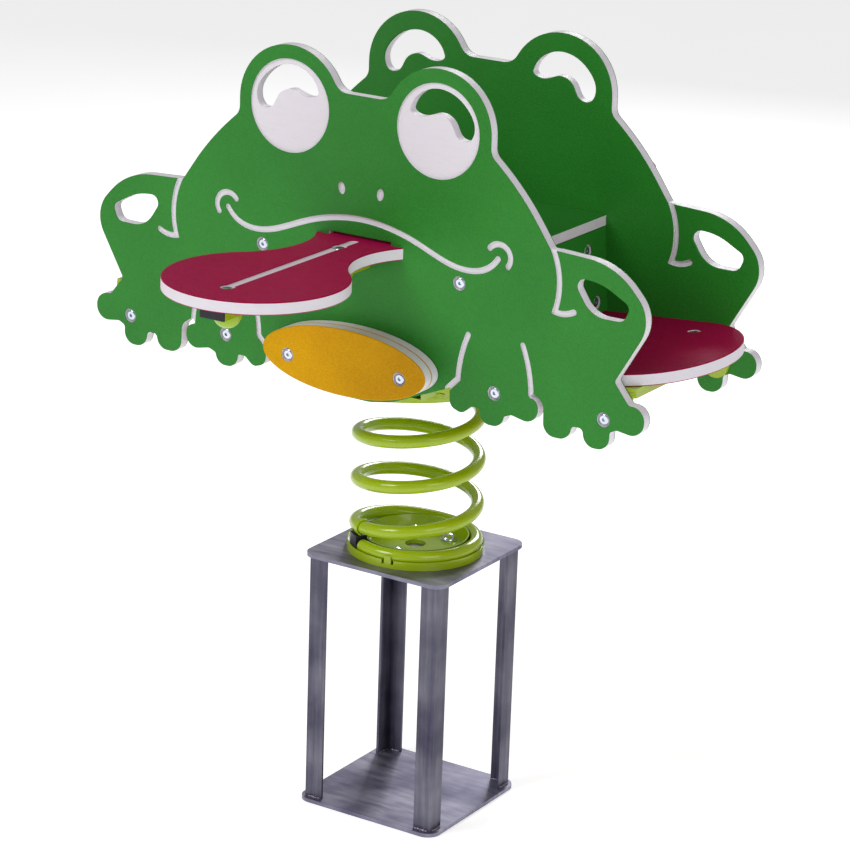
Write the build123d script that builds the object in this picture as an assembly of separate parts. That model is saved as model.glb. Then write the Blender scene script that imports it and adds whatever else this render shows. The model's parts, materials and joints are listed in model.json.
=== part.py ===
"""Four-seat frog spring seesaw on an in-ground anchor cage, one STEP file for each sub-part.

Millimetres, +Z up, origin at the centre of the underside of the anchor's bottom plate.
X runs from one end seat to the other, and the tongue seats lie along Y.
"""
from build123d import *
import math
import os

# ---- anchor cage -------------------------------------------------------------------
ANCHOR_SIDE = 250.0
ANCHOR_HEIGHT = 410.0
ANCHOR_PLATE = 6.0
ANCHOR_CORNER_R = 22.0
ANGLE_LEG = 30.0
ANGLE_WALL = 4.0
ANGLE_INSET = 10.0

# ---- coil spring -------------------------------------------------------------------
WIRE_R = 10.0
COIL_R = 92.5
COIL_PITCH = 71.5
COIL_START_DEG = -118.0
DEAD_TURNS = 0.593
ACTIVE_TURNS = 3.552
SEAT_PLATE_T = 6.0
COIL_LOW_Z = ANCHOR_HEIGHT + SEAT_PLATE_T + WIRE_R + 0.5
COIL_HIGH_Z = COIL_LOW_Z + COIL_PITCH * ACTIVE_TURNS
UPPER_PLATE_Z = COIL_HIGH_Z + WIRE_R + 0.5
# Turns, counted from the wire's lower end, at which the coil is parted for its joints.
JOINT_TURNS = (1.0778, 1.8278, 2.3278, 2.8278, 3.5778)
JOINT_GAP = 2.4
SLIDE_GAP = 8.0
BASE_BOLT_CIRCLE_R = 55.0
BASE_BOLT_DEG = (55.0, 125.0, 270.0)
BASE_BOLT_R = 6.0
RIM_R = 105.6
RIM_H = 6.5

# ---- board sheets ------------------------------------------------------------------
SHEET_T = 18.0
FACE_Z = 920.0
INNER_Y = 160.0
OUTER_Y = INNER_Y + SHEET_T
GROOVE_W = 9.0
GROOVE_DEPTH = 3.0
TONGUE_GROOVE_W = 15.0
TONGUE_GROOVE_DEPTH = 2.2
EDGE_CHAMFER = 1.2
EYE_X = 126.0
EYE_Z = 189.0
EYE_R = 87.5
OVAL_R = 68.5
HEAD_R = 8.2
HEAD_H = 4.4
COUNTERBORE_R = 10.6
COUNTERBORE_DEPTH = 6.0
BOLT_R = 5.0
BOLT_HOLE_R = 5.5

# ---- seats, tongues, box -----------------------------------------------------------
TONGUE_TOP = FACE_Z + 11.4
TONGUE_R = 131.0
TONGUE_LENGTH = 385.0
WAIST_HALF = 54.0
WAIST_Y = 70.0
WAIST_R = 127.3
SLOT_TOP = FACE_Z + 16.7
SEAT_TILT = 4.5
SEAT_MID_X = 400.0
SEAT_NOSE = 107.0
SEAT_INNER_X = 200.0
SEAT_BOLT_Y = 104.0
SEAT_TOP_AT_MID = FACE_Z - 115.9
SHELF_TOP = FACE_Z + 16.6
SHELF_HALF = 214.0
LUG_T = 5.4
FOOT_BOLT = (412.0, -177.4)
PAW_BOLT = (234.0, -174.0)
MOUTH_BOLT = (170.0, -24.0)
BELLY_BOLT = (97.0, -171.0)
BELLY_MID_Z = -165.0
BELLY_HALF_X = 141.0
BELLY_HALF_Z = 50.0

# ---- steel frame inside the body ---------------------------------------------------
ARM_W = 40.0
ARM_H = 20.0
ARM_TOP = TONGUE_TOP - SHEET_T
ARM_END_Y = OUTER_Y + 354.0
TUBE_WALL = 2.5
RAIL_HALF = 250.0
RAIL_LEG = 40.0
RAIL_WALL = 4.0
MOUNT_PLATE_T = 6.0
MOUNT_PLATE_SIDE = 220.0
TIE_H = 20.0
TIE_X = 83.0
COLUMN_Y = 95.0
COLUMN_W = 30.0
SIDE_TUBE_W = 30.0
SHELF_BOTTOM = SHELF_TOP - SHEET_T
SIDE_TUBE_H = 50.0

NODES = {}


def write(name, *solids):
    """Keep a node's solids under its name, to be written at the end."""
    NODES[name] = Compound(children=[s.solid() if len(s.solids()) == 1 else s for s in solids])


def four_ways(shape):
    """The shape and its copies mirrored over X = 0, over Y = 0, and over both."""
    over_x = mirror(shape, about=Plane.YZ)
    return [shape, over_x, mirror(shape, about=Plane.XZ), mirror(over_x, about=Plane.XZ)]


def both_ends(shape):
    """The shape and its copy at the other end, mirrored over X = 0."""
    return [shape, mirror(shape, about=Plane.YZ)]


def both_faces(shape):
    """The shape and its copy on the other side, mirrored over Y = 0."""
    return [shape, mirror(shape, about=Plane.XZ)]


def block(x0, x1, y0, y1, z0, z1):
    """A box between two corners."""
    return Pos((x0 + x1) / 2, (y0 + y1) / 2, (z0 + z1) / 2) * Box(x1 - x0, y1 - y0, z1 - z0)


def post(radius, z0, z1, x=0.0, y=0.0):
    """An upright cylinder."""
    return Pos(x, y, (z0 + z1) / 2) * Cylinder(radius, z1 - z0)


def pin_y(radius, y0, y1, x, z):
    """A cylinder that lies along Y."""
    return Pos(x, (y0 + y1) / 2, z) * Rot(90, 0, 0) * Cylinder(radius, y1 - y0)


def slab_xz(sketch, y0, y1):
    """A sheet cut to an outline in the XZ plane, between two Y values."""
    return Pos(0, y1, 0) * extrude(Plane.XZ * sketch, amount=y1 - y0)


def slab_xy(sketch, z0, z1):
    """A sheet cut to an outline in the XY plane, between two Z values."""
    return Pos(0, 0, z0) * extrude(sketch, amount=z1 - z0)


def softened(board):
    """A level board with the rims of its two faces chamfered."""
    faces = board.faces().sort_by(Axis.Z)
    return chamfer(faces[0].edges() + faces[-1].edges(), EDGE_CHAMFER)


def tube(x0, x1, y0, y1, z0, z1, along):
    """A rectangular steel tube, open at both ends of the named axis."""
    shrink = {"x": (0, 1, 1), "y": (1, 0, 1), "z": (1, 1, 0)}[along]
    bore = [TUBE_WALL * s for s in shrink]
    over = [1.0 - s for s in shrink]
    hole = block(x0 + bore[0] - over[0], x1 - bore[0] + over[0],
                 y0 + bore[1] - over[1], y1 - bore[1] + over[1],
                 z0 + bore[2] - over[2], z1 - bore[2] + over[2])
    return block(x0, x1, y0, y1, z0, z1) - hole


# ---- anchor ------------------------------------------------------------------------
def anchor_plate(z0):
    return slab_xy(RectangleRounded(ANCHOR_SIDE, ANCHOR_SIDE, ANCHOR_CORNER_R), z0, z0 + ANCHOR_PLATE)


def angle_post():
    """One corner post, an L section whose corner points outwards."""
    low, high = ANCHOR_PLATE, ANCHOR_HEIGHT - ANCHOR_PLATE
    edge = ANCHOR_SIDE / 2 - ANGLE_INSET
    outer = block(edge - ANGLE_LEG, edge, edge - ANGLE_LEG, edge, low, high)
    inner = block(edge - ANGLE_LEG - 1, edge - ANGLE_WALL, edge - ANGLE_LEG - 1, edge - ANGLE_WALL,
                  low - 1, high + 1)
    return outer - inner


def bolt_circle():
    """The three bolt places on the spring's lower plate."""
    return [(BASE_BOLT_CIRCLE_R * math.cos(math.radians(a)), BASE_BOLT_CIRCLE_R * math.sin(math.radians(a)))
            for a in BASE_BOLT_DEG]


def at_head(shape):
    """A shape of the spring's foot turned over to the spring's head, end for end."""
    middle_deg = COIL_START_DEG + 360.0 * (DEAD_TURNS + ACTIVE_TURNS / 2)
    middle_z = (COIL_LOW_Z + COIL_HIGH_Z) / 2
    across = (math.cos(math.radians(middle_deg)), math.sin(math.radians(middle_deg)), 0)
    return shape.rotate(Axis((0, 0, middle_z), across), 180)


def head_circle():
    """The three bolt places on the spring's upper plate."""
    turned = 2 * (COIL_START_DEG + 360.0 * (DEAD_TURNS + ACTIVE_TURNS / 2))
    return [(BASE_BOLT_CIRCLE_R * math.cos(math.radians(turned - a)),
             BASE_BOLT_CIRCLE_R * math.sin(math.radians(turned - a))) for a in BASE_BOLT_DEG]


def build_anchor():
    top = anchor_plate(ANCHOR_HEIGHT - ANCHOR_PLATE)
    for x, y in bolt_circle():
        top -= post(BASE_BOLT_R + 0.5, ANCHOR_HEIGHT - 10, ANCHOR_HEIGHT + 10, x, y)
    write("anchor_bottom_plate", anchor_plate(0))
    write("anchor_top_plate", top)
    names = ("right_rear", "left_rear", "right_front", "left_front")
    for name, solid in zip(names, four_ways(angle_post())):
        write("anchor_post_" + name, solid)
    bolts = []
    washers = []
    nuts = []
    head_z = ANCHOR_HEIGHT + SEAT_PLATE_T
    for x, y in bolt_circle():
        disc = post(13, head_z, head_z + 2, x, y)
        washers.append(disc - post(BASE_BOLT_R + 0.1, head_z - 1, head_z + 3, x, y))
        dome = Pos(x, y, head_z + 2) * (Sphere(13) & block(-20, 20, -20, 20, 5, 20))
        dome = Pos(0, 0, -5) * dome
        bolts.append(dome + post(BASE_BOLT_R, ANCHOR_HEIGHT - ANCHOR_PLATE - 16, head_z + 2, x, y))
        hexagon = Pos(x, y) * (RegularPolygon(11, 6) - Circle(BASE_BOLT_R + 0.05))
        nuts.append(slab_xy(hexagon, ANCHOR_HEIGHT - ANCHOR_PLATE - 10, ANCHOR_HEIGHT - ANCHOR_PLATE))
    write("anchor_bolts", *bolts)
    write("anchor_bolt_washers", *washers)
    write("anchor_bolt_nuts", *nuts)


# ---- spring ------------------------------------------------------------------------
def coil_angle(turns):
    return math.radians(COIL_START_DEG + 360.0 * turns)


def coil_height(turns):
    climb = min(max(turns - DEAD_TURNS, 0.0), ACTIVE_TURNS)
    return COIL_LOW_Z + COIL_PITCH * climb


def flat_turn(start, end):
    """A stretch of wire that lies flat."""
    ring = Plane.XZ * (Pos(COIL_R, 0) * Circle(WIRE_R))
    sweep_deg = 360.0 * (end - start)
    turned = revolve(ring, Axis.Z, revolution_arc=sweep_deg)
    spin = Rot(0, 0, COIL_START_DEG + 360.0 * start)
    return Pos(0, 0, coil_height(start)) * spin * turned


def rising_turn(start, end):
    """A stretch of wire that climbs at the spring's pitch."""
    rise = COIL_PITCH * (end - start)
    path = Helix(pitch=COIL_PITCH, height=rise, radius=COIL_R)
    section = Plane(origin=path @ 0, z_dir=path % 0) * Circle(WIRE_R)
    wire = sweep(section, path=path, is_frenet=True)
    return Pos(0, 0, coil_height(start)) * Rot(0, 0, math.degrees(coil_angle(start))) * wire


def coil_stretch(start, end):
    """The wire between two places, as flat and climbing lengths joined end to end."""
    top_of_climb = DEAD_TURNS + ACTIVE_TURNS
    solids = []
    if start < DEAD_TURNS:
        solids.append(flat_turn(start, DEAD_TURNS))
    solids.append(rising_turn(max(start, DEAD_TURNS), min(end, top_of_climb)))
    if end > top_of_climb:
        solids.append(flat_turn(top_of_climb, end))
    joined = solids[0]
    for solid in solids[1:]:
        joined = joined + solid
    return joined


def build_spring():
    gap = JOINT_GAP / 2 / (2 * math.pi * COIL_R)
    slide_gap = SLIDE_GAP / 2 / (2 * math.pi * COIL_R)
    total = 2 * DEAD_TURNS + ACTIVE_TURNS
    parted = [(t, slide_gap if i == 2 else gap) for i, t in enumerate(JOINT_TURNS)]
    cuts = [(0.0, 0.0)] + parted + [(total, 0.0)]
    names = ("foot", "turn_1", "turn_2", "turn_3", "turn_4", "head")
    for name, (start, g0), (end, g1) in zip(names, cuts, cuts[1:]):
        write("spring_coil_" + name, coil_stretch(start + g0, end - g1))


def sector(radius, deg, width_deg, z0, z1):
    """A pie slice of a cylinder, to cut with."""
    ring = Plane.XZ * (Pos(radius / 2, (z0 + z1) / 2) * Rectangle(radius, z1 - z0))
    return Rot(0, 0, deg - width_deg / 2) * revolve(ring, Axis.Z, revolution_arc=width_deg)


def spring_plate():
    """The pressed lower plate: a flat floor, a bowl wall inside the wire and a rim round its foot."""
    z0 = ANCHOR_HEIGHT
    z1 = z0 + SEAT_PLATE_T
    disc = post(RIM_R, z0, z1)
    for x, y in bolt_circle():
        disc -= post(BASE_BOLT_R + 0.5, z0 - 1, z1 + 1, x, y)
    disc -= post(16, z0 - 1, z1 + 1)
    rim = post(RIM_R, z1, z1 + RIM_H) - post(RIM_R - 2.4, z1 - 1, z1 + RIM_H + 1)
    ear = post(RIM_R, z1, z1 + 13) - post(RIM_R - 2.2, z1 - 1, z1 + 14)
    ear = ear & sector(120, -81.0, 5.6, z1, z1 + 13)
    for deg in (-85.2, -76.8):
        rim -= sector(120, deg, 2.2, z1 - 0.5, z1 + RIM_H + 1)
    wall = make_face(Polyline((73.0, z1), (76.5, z1), (81.7, z1 + 18), (79.4, z1 + 18), close=True))
    return disc + rim + ear + revolve(Plane.XZ * wall, Axis.Z)


def coil_clip(turns):
    """A sprung C-clip round the wire where it leaves the wedge."""
    profile = Circle(WIRE_R + 2.8) - Circle(WIRE_R + 0.9) - Pos(0, -WIRE_R - 1) * Rectangle(9, 8)
    band = revolve(Plane.XZ * (Pos(COIL_R, 0) * profile), Axis.Z, revolution_arc=4.5)
    return Pos(0, 0, coil_height(turns)) * Rot(0, 0, math.degrees(coil_angle(turns)) - 2.25) * band


def coil_wedge():
    """A hard rubber block that fills the step under the wire's first rise."""
    z0 = ANCHOR_HEIGHT + SEAT_PLATE_T
    z1 = coil_height(0.952) - WIRE_R - 1.2
    ring = Plane.XZ * (Pos(COIL_R, (z0 + z1) / 2) * Rectangle(19, z1 - z0))
    return Rot(0, 0, -135.0) * revolve(ring, Axis.Z, revolution_arc=15.0)


def build_spring_ends():
    high = UPPER_PLATE_Z
    pieces = {"spring_plate": spring_plate(), "coil_wedge": coil_wedge(), "coil_clips": coil_clip(0.998)}
    for name, solid in pieces.items():
        write("lower_" + name, solid)
        write("upper_" + name, at_head(solid))
    bolts = []
    nuts = []
    for x, y in head_circle():
        hexagon = Pos(x, y) * RegularPolygon(11, 6)
        shank = post(BASE_BOLT_R, high - 1, high + SEAT_PLATE_T + 17, x, y)
        bolts.append(slab_xy(hexagon, high - 7, high) + shank)
        z = high + SEAT_PLATE_T + MOUNT_PLATE_T
        ring = Pos(x, y) * (RegularPolygon(11, 6) - Circle(BASE_BOLT_R + 0.05))
        nuts.append(slab_xy(ring, z, z + 10))
    write("spring_head_bolts", *bolts)
    write("spring_head_nuts", *nuts)


# ---- frog panels -------------------------------------------------------------------
# Corners of the right half of the outline, from the saddle between the eyes to the belly, each with
# the radius that rounds it.
HALF_OUTLINE = (
    (41.9, 219.5, 28.0), (76.0, 276.5, 86.0), (213.5, 276.5, 87.0), (213.5, 167.0, 20.0),
    (266.0, 121.0, 420.0), (315.0, 50.5, 5.0), (419.3, 45.2, 105.0), (481.4, -23.1, 50.0),
    (426.1, -119.9, 7.0), (450.0, -149.6, 6.0), (476.0, -150.2, 20.0), (475.5, -194.4, 20.0),
    (433.5, -188.5, 8.0), (422.5, -194.0, 6.0), (422.5, -221.6, 18.5), (384.0, -221.6, 18.5),
    (379.5, -196.6, 7.0), (362.0, -196.6, 7.0), (358.0, -218.6, 18.5), (317.0, -218.6, 18.5),
    (315.5, -172.0, 18.0), (297.0, -160.5, 2.0), (291.5, -168.5, 2.0), (306.5, -170.5, 15.0),
    (306.5, -209.0, 19.0), (264.0, -200.0, 10.0), (251.5, -205.0, 5.0), (250.0, -222.0, 17.0),
    (214.5, -222.0, 17.0), (211.0, -200.5, 5.0), (198.0, -200.5, 8.0), (182.5, -214.0, 12.0),
    (161.5, -207.0, 14.0),
    (160.5, -179.0, 2.0),
    (150.5, -184.4, 2.0), (62.0, -221.5, 60.0), (25.0, -228.0, 60.0),
)


def rounded_outline(corners):
    """A closed face whose outline runs through the corners and is mirrored over the middle."""
    right = [(x, z) for x, z, _ in corners]
    radii = [r for _, _, r in corners]
    start = (0.0, right[0][1])
    end = (0.0, right[-1][1])
    half = FilletPolyline(start, *right, end, radius=radii)
    wire = Wire(half.edges() + mirror(half, about=Plane.YZ).edges())
    return make_face(wire)


def groove_face(*edges, width=GROOVE_W):
    """The area a round-nosed cutter leaves when it follows the edges."""
    return trace(Wire(edges), line_width=width) + [
        Pos(*p) * Circle(width / 2) for p in (edges[0] @ 0, edges[-1] @ 1)]


def leg_line():
    """The hooked line between the head and a raised knee."""
    side = ThreePointArc((319.0, 53.0), (332.0, 5.0), (326.5, -37.0))
    return groove_face(side, ThreePointArc((326.5, -37.0), (343.0, -37.5), (357.0, -32.5)))


def face_lines():
    """Every white line on the outer face of a panel, right and left."""
    hook = groove_face(ThreePointArc((218.0, 36.0), (245.0, 39.5), (248.5, 13.5)))
    inner_paw = groove_face(ThreePointArc((188.0, -96.0), (177.5, -130.0), (173.5, -164.0)),
                            Line((173.5, -164.0), (156.5, -181.5)))
    outer_paw = groove_face(ThreePointArc((278.0, -95.0), (289.0, -128.0), (294.5, -165.0)))
    nostril = Pos(33.0, 82.0) * Rot(0, 0, -10) * Ellipse(6.0, 9.2)
    right = [leg_line(), hook, inner_paw, outer_paw, nostril]
    mouth = groove_face(Spline((-232.0, 22.0), (-207.0, 1.5), (-180.0, -2.8), (-98.0, 22.0), (0.0, 41.0),
                               (98.0, 22.0), (180.0, -2.8), (207.0, 1.5), (232.0, 22.0)))
    return right + [mirror(s, about=Plane.YZ) for s in right] + [mouth]


def eye_hole():
    """The kidney-shaped hand-hold hole through an eye."""
    return make_face(Spline((78.0, 215.0), (93.0, 237.0), (122.0, 248.0), (150.0, 242.5), (173.0, 225.0),
                            (185.0, 196.0), (176.5, 180.5), (158.0, 183.0), (147.0, 201.0),
                            (124.0, 212.0), (94.0, 204.5), periodic=True))


def knee_hole():
    """The hand-hold hole through a knee."""
    corners = [(350.0, 18.5), (398.0, 17.0), (446.0, -9.0), (436.0, -33.0), (384.0, -33.5)]
    return make_face(FilletPolyline(*corners, close=True, radius=[12.0, 90.0, 11.0, 14.0, 42.0]))


def tongue_slot():
    """The slot for the tongue's tenon, with a notch below it for the steel arm."""
    upper = block(-WAIST_HALF, WAIST_HALF, -OUTER_Y - 5, -INNER_Y + 5, ARM_TOP - 0.6, SLOT_TOP)
    lower = block(-ARM_W / 2 - 1, ARM_W / 2 + 1, -OUTER_Y - 5, -INNER_Y + 5, ARM_TOP - ARM_H - 1, ARM_TOP)
    return upper + lower


def frog_panel():
    """The front panel. Its outer face is towards -Y."""
    outline = rounded_outline(HALF_OUTLINE)
    cut = [eye_hole(), mirror(eye_hole(), about=Plane.YZ), knee_hole(), mirror(knee_hole(), about=Plane.YZ)]
    sheet = slab_xz(Pos(0, FACE_Z) * (outline - cut), -OUTER_Y, -INNER_Y)
    by_y = sheet.faces().sort_by(Axis.Y)
    for face in (by_y[0], by_y[-1]):
        sheet = chamfer([e for w in face.inner_wires() for e in w.edges()], EDGE_CHAMFER)
    for line in face_lines():
        sheet -= slab_xz(Pos(0, FACE_Z) * line, -OUTER_Y - 1, -OUTER_Y + GROOVE_DEPTH)
    for line in (leg_line(), mirror(leg_line(), about=Plane.YZ)):
        sheet -= slab_xz(Pos(0, FACE_Z) * line, -INNER_Y - GROOVE_DEPTH, -INNER_Y + 1)
    for side in (-1, 1):
        oval = Pos(side * EYE_X, FACE_Z + EYE_Z - 1) * Circle(OVAL_R)
        sheet -= slab_xz(oval, -OUTER_Y - 1, -OUTER_Y + 2.2)
        for x, z in (FOOT_BOLT, PAW_BOLT, MOUTH_BOLT):
            sheet -= pin_y(COUNTERBORE_R, -OUTER_Y - 1, -OUTER_Y + COUNTERBORE_DEPTH, side * x, FACE_Z + z)
            sheet -= pin_y(BOLT_HOLE_R, -OUTER_Y - 1, -INNER_Y + 1, side * x, FACE_Z + z)
        x, z = BELLY_BOLT
        sheet -= pin_y(BOLT_HOLE_R, -OUTER_Y - 1, -INNER_Y + 1, side * x, FACE_Z + z)
    return sheet - tongue_slot()


def button_bolt(x, z, face_y, length):
    """A button-head bolt along Y, with a hexagon socket in its head, for the front panel."""
    seat_y = face_y + COUNTERBORE_DEPTH
    head = pin_y(HEAD_R, seat_y - HEAD_H, seat_y, x, z)
    head = fillet(head.faces().sort_by(Axis.Y)[0].edges(), 2.6)
    socket = slab_xz(Pos(x, z) * RegularPolygon(3.2, 6), seat_y - HEAD_H - 1, seat_y - HEAD_H + 2.6)
    return head - socket + pin_y(BOLT_R, seat_y, seat_y + length, x, z)


def nut_y(x, z, y0):
    """A hexagon nut on a bolt that lies along Y."""
    ring = Pos(x, z) * (RegularPolygon(9.2, 6) - Circle(BOLT_R + 0.05))
    return slab_xz(ring, y0, y0 + 8)


def belly_plate(y0, y1, counterbored):
    plate = slab_xz(Pos(0, FACE_Z + BELLY_MID_Z) * Ellipse(BELLY_HALF_X, BELLY_HALF_Z), y0, y1)
    plate = chamfer(plate.edges().filter_by(GeomType.ELLIPSE), EDGE_CHAMFER)
    for side in (-1, 1):
        x, z = side * BELLY_BOLT[0], FACE_Z + BELLY_BOLT[1]
        plate -= pin_y(BOLT_HOLE_R, y0 - 1, y1 + 1, x, z)
        if counterbored:
            plate -= pin_y(COUNTERBORE_R, y0 - 1, y0 + COUNTERBORE_DEPTH, x, z)
    return plate


def build_panels():
    front = frog_panel()
    outer = belly_plate(-OUTER_Y - 2 * SHEET_T, -OUTER_Y - SHEET_T, True)
    inner = belly_plate(-OUTER_Y - SHEET_T, -OUTER_Y, False)
    for name, solid in (("panel", front), ("belly_plate_outer", outer), ("belly_plate_inner", inner)):
        front_copy, rear_copy = both_faces(solid)
        write("front_" + name, front_copy)
        write("rear_" + name, rear_copy)
    bolts = []
    nuts = []
    for side in (-1, 1):
        for (x, z), backing in ((FOOT_BOLT, LUG_T), (PAW_BOLT, RAIL_WALL), (MOUTH_BOLT, TUBE_WALL)):
            length = SHEET_T - COUNTERBORE_DEPTH + backing + 11
            bolts.append(button_bolt(side * x, FACE_Z + z, -OUTER_Y, length))
            nuts.append(nut_y(side * x, FACE_Z + z, -INNER_Y + backing))
        x, z = BELLY_BOLT
        length = 3 * SHEET_T - COUNTERBORE_DEPTH + RAIL_WALL + 11
        bolts.append(button_bolt(side * x, FACE_Z + z, -OUTER_Y - 2 * SHEET_T, length))
        nuts.append(nut_y(side * x, FACE_Z + z, -INNER_Y + RAIL_WALL))
    write("front_panel_bolts", *bolts)
    write("front_panel_nuts", *nuts)
    write("rear_panel_bolts", *[mirror(b, about=Plane.XZ) for b in bolts])
    write("rear_panel_nuts", *[mirror(n, about=Plane.XZ) for n in nuts])


# ---- end seats ---------------------------------------------------------------------
def on_seat(shape):
    """Tilt a shape drawn flat with its top face at Z = 0 onto the right-hand seat's plane."""
    return Pos(SEAT_MID_X, 0, SEAT_TOP_AT_MID) * Rot(0, -SEAT_TILT, 0) * shape


def seat_board():
    half = INNER_Y - 0.6
    inner = SEAT_INNER_X - SEAT_MID_X
    nose = Ellipse(SEAT_NOSE, half) & Pos(SEAT_NOSE / 2, 0) * Rectangle(SEAT_NOSE, 2 * half)
    outline = nose + Pos(inner / 2, 0) * Rectangle(-inner, 2 * half)
    board = slab_xy(outline, -SHEET_T, 0)
    board = softened(board)
    for y in (-SEAT_BOLT_Y, SEAT_BOLT_Y):
        board -= post(COUNTERBORE_R, -COUNTERBORE_DEPTH, 1, 0, y)
        board -= post(BOLT_HOLE_R, -SHEET_T - 1, 1, 0, y)
    return on_seat(board)


def seat_bracket():
    """A pressed channel under the seat, with a rounded lug down to each panel's foot bolt."""
    half = INNER_Y - 0.4
    web = block(-26, 50, -half, half, -SHEET_T - 5, -SHEET_T)
    for x in (-26, 46):
        web += block(x, x + 4, -half, half, -SHEET_T - 13, -SHEET_T - 4)
    for y in (-SEAT_BOLT_Y, SEAT_BOLT_Y):
        web -= post(BOLT_HOLE_R, -SHEET_T - 6, -SHEET_T + 1, 0, y)
    web = on_seat(web)
    x, z = FOOT_BOLT[0], FACE_Z + FOOT_BOLT[1]
    top = SEAT_TOP_AT_MID - SHEET_T - 5
    blade = make_hull([*Circle(20).locate(Location((x, z))).edges(),
                       *Polyline((374.5, top - 3), (449.5, top + 2.8)).edges()])
    lugs = slab_xz(blade, -half, -half + 5)
    lugs -= pin_y(BOLT_HOLE_R, -half - 1, -half + 6, x, z)
    return web + both_faces(lugs)


def seat_bolt(y):
    """A button-head bolt down through a seat, on the seat's own plane."""
    seat_z = -COUNTERBORE_DEPTH
    head = fillet(post(HEAD_R, seat_z, seat_z + HEAD_H, 0, y).faces().sort_by(Axis.Z)[-1].edges(), 2.6)
    socket = slab_xy(Pos(0, y) * RegularPolygon(3.2, 6), seat_z + HEAD_H - 2.6, seat_z + HEAD_H + 1)
    return on_seat(head - socket + post(BOLT_R, -SHEET_T - 16, seat_z, 0, y))


def seat_nut(y):
    ring = Pos(0, y) * (RegularPolygon(9.2, 6) - Circle(BOLT_R + 0.05))
    return on_seat(slab_xy(ring, -SHEET_T - 13, -SHEET_T - 5))


def build_seats():
    for name, solid in (("seat", seat_board()), ("seat_bracket", seat_bracket())):
        right, left = both_ends(solid)
        write("right_" + name, right)
        write("left_" + name, left)
    bolts = [seat_bolt(y) for y in (-SEAT_BOLT_Y, SEAT_BOLT_Y)]
    nuts = [seat_nut(y) for y in (-SEAT_BOLT_Y, SEAT_BOLT_Y)]
    write("seat_bolts", *[s for b in bolts for s in both_ends(b)])
    write("seat_nuts", *[s for n in nuts for s in both_ends(n)])


# ---- tongues -----------------------------------------------------------------------
TONGUE_BOLTS = (OUTER_Y + 50.0, OUTER_Y + 321.0)


def tongue():
    """The front tongue seat, a round lobe on a waist that ends in a tenon."""
    lobe_y = -(OUTER_Y + TONGUE_LENGTH - TONGUE_R)
    waist_y = -(OUTER_Y + WAIST_Y)
    waist_x = WAIST_HALF + WAIST_R
    away = math.hypot(waist_x, waist_y - lobe_y)
    touch = (waist_x * TONGUE_R / away, lobe_y + (waist_y - lobe_y) * TONGUE_R / away)
    root_x = waist_x - math.sqrt(WAIST_R ** 2 - WAIST_Y ** 2)
    tip = (0.0, lobe_y - TONGUE_R)
    half = [
        ThreePointArc(tip, (TONGUE_R * math.cos(0.5), lobe_y - TONGUE_R * math.sin(0.5)), touch),
        ThreePointArc(touch, (WAIST_HALF, waist_y), (root_x, -OUTER_Y)),
        Polyline((root_x, -OUTER_Y), (WAIST_HALF - 0.8, -OUTER_Y), (WAIST_HALF - 0.8, -INNER_Y - 0.5),
                 (0.0, -INNER_Y - 0.5)),
    ]
    edges = [e for piece in half for e in piece.edges()]
    edges += [e for piece in half for e in mirror(piece, about=Plane.YZ).edges()]
    board = slab_xy(make_face(Wire(edges)), TONGUE_TOP - SHEET_T, TONGUE_TOP)
    board = softened(board)
    line = Polyline((0.0, -OUTER_Y - 326.0), (0.0, -OUTER_Y - 15.0))
    groove = groove_face(*line.edges(), width=TONGUE_GROOVE_W)
    board -= slab_xy(groove, TONGUE_TOP - TONGUE_GROOVE_DEPTH, TONGUE_TOP + 1)
    for y in TONGUE_BOLTS:
        board -= post(COUNTERBORE_R, TONGUE_TOP - COUNTERBORE_DEPTH, TONGUE_TOP + 1, 0, -y)
        board -= post(BOLT_HOLE_R, TONGUE_TOP - SHEET_T - 1, TONGUE_TOP, 0, -y)
    return board


def build_tongues():
    front, rear = both_faces(tongue())
    write("front_tongue", front)
    write("rear_tongue", rear)
    bolts = []
    caps = []
    seat_z = TONGUE_TOP - COUNTERBORE_DEPTH
    for y in TONGUE_BOLTS:
        head = post(HEAD_R, seat_z, seat_z + HEAD_H, 0, -y)
        head = fillet(head.faces().sort_by(Axis.Z)[-1].edges(), 2.6)
        socket = slab_xy(Pos(0, -y) * RegularPolygon(3.2, 6), seat_z + HEAD_H - 2.6, seat_z + HEAD_H + 1)
        bolts += both_faces(head - socket + post(BOLT_R, ARM_TOP - ARM_H - 10, seat_z, 0, -y))
        dome = Sphere(20) & block(-30, 30, -30, 30, -30, 0)
        hollow = post(BOLT_R + 0.1, -11, 1)
        caps += both_faces(Pos(0, -y, ARM_TOP - ARM_H) * (dome - hollow))
    write("tongue_bolts", *bolts)
    write("tongue_bolt_caps", *caps)
    arm = tube(-ARM_W / 2, ARM_W / 2, -ARM_END_Y, ARM_END_Y, ARM_TOP - ARM_H, ARM_TOP, "y")
    for y in TONGUE_BOLTS:
        for side in (-1, 1):
            arm -= post(BOLT_R + 0.1, ARM_TOP - ARM_H - 1, ARM_TOP + 1, 0, side * y)
    write("tongue_arm", arm)
    plug = block(-ARM_W / 2, ARM_W / 2, -ARM_END_Y - 3, -ARM_END_Y, ARM_TOP - ARM_H, ARM_TOP)
    plug += block(-ARM_W / 2 + TUBE_WALL + 0.1, ARM_W / 2 - TUBE_WALL - 0.1, -ARM_END_Y, -ARM_END_Y + 14,
                  ARM_TOP - ARM_H + TUBE_WALL + 0.1, ARM_TOP - TUBE_WALL - 0.1)
    write("tongue_arm_plugs", *both_faces(plug))


# ---- box and frame -----------------------------------------------------------------
def board_face_x(z):
    """X of a cross board's outer face at a height: the boards spread towards the seats."""
    return SHELF_HALF + (SHELF_BOTTOM - z) * math.tan(math.radians(SEAT_TILT))


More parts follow.
